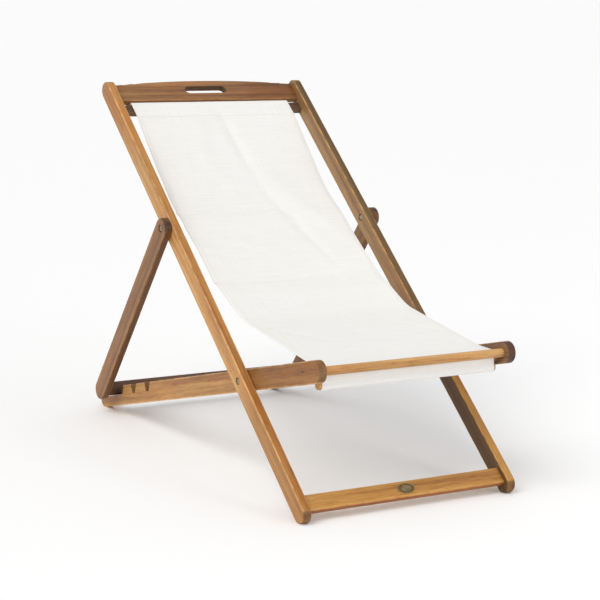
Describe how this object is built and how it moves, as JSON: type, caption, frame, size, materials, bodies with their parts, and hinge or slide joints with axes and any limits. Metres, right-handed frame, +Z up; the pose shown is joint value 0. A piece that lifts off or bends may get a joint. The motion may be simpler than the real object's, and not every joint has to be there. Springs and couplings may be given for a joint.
{
  "type": "folding deck chair",
  "caption": "Low folding lounge chair: crossed wooden frames with a notched recline, a carrying slot and a hanging canvas sling.",
  "frame": {"origin": "middle of the bounding box on the floor", "axes": "+X to the sitter's left, -Y the way the sitter faces, +Z up"},
  "size_m": [0.601, 1.0744, 0.8431],
  "materials": {
    "left_back_rail_wood": "oiled",
    "right_back_rail_wood": "oiled",
    "head_rail_wood": "oiled",
    "head_batten_wood": "oiled",
    "foot_rail_wood": "oiled",
    "left_seat_rail_wood": "oiled",
    "right_seat_rail_wood": "oiled",
    "front_dowel_wood": "oiled",
    "seat_batten_wood": "oiled",
    "left_prop_leg_wood": "oiled",
    "right_prop_leg_wood": "oiled",
    "prop_bar_wood": "oiled",
    "head_hem_rod_wood": "oiled",
    "seat_hem_rod_wood": "oiled",
    "pivot_steel": "zinc plated, satin",
    "brad_steel": "dull",
    "badge_brass": "aged, satin",
    "canvas": "plain weave cotton canvas"
  },
  "bodies": {
    "back_frame": {"left_back_rail": "left_back_rail_wood", "right_back_rail": "right_back_rail_wood", "head_rail": "head_rail_wood", "head_batten": "head_batten_wood", "head_hem_rod": "head_hem_rod_wood", "foot_rail": "foot_rail_wood", "badge_plate": "badge_brass", "badge_pins": "badge_brass", "sling": "canvas", "main_pivot_bolts": "pivot_steel", "main_pivot_washers": "pivot_steel", "main_pivot_nuts": "pivot_steel", "prop_pivot_bolts": "pivot_steel", "prop_pivot_washers": "pivot_steel", "prop_pivot_nuts": "pivot_steel", "head_rail_brads": "brad_steel", "foot_rail_brads": "brad_steel"},
    "seat_frame": {"left_seat_rail": "left_seat_rail_wood", "right_seat_rail": "right_seat_rail_wood", "front_dowel": "front_dowel_wood", "seat_batten": "seat_batten_wood", "seat_hem_rod": "seat_hem_rod_wood", "dowel_brads": "brad_steel"},
    "prop_frame": {"left_prop_leg": "left_prop_leg_wood", "right_prop_leg": "right_prop_leg_wood", "prop_bar": "prop_bar_wood", "prop_bar_brads": "brad_steel"}
  },
  "joints": [
    {"name": "seat_fold", "type": "hinge", "parent": "back_frame", "child": "seat_frame", "pos_m": [0, -0.23247, 0.2453], "axis": [1, 0, 0], "range_deg": [0, 55.03], "deforming": ["sling"]},
    {"name": "prop_swing", "type": "hinge", "parent": "back_frame", "child": "prop_frame", "pos_m": [0, 0.12909, 0.53291], "axis": [1, 0, 0], "range_deg": [0, 93.93]}
  ],
  "couplings": [
    {"joint": "prop_swing", "follows": "seat_fold", "ratio": 1.7068}
  ]
}
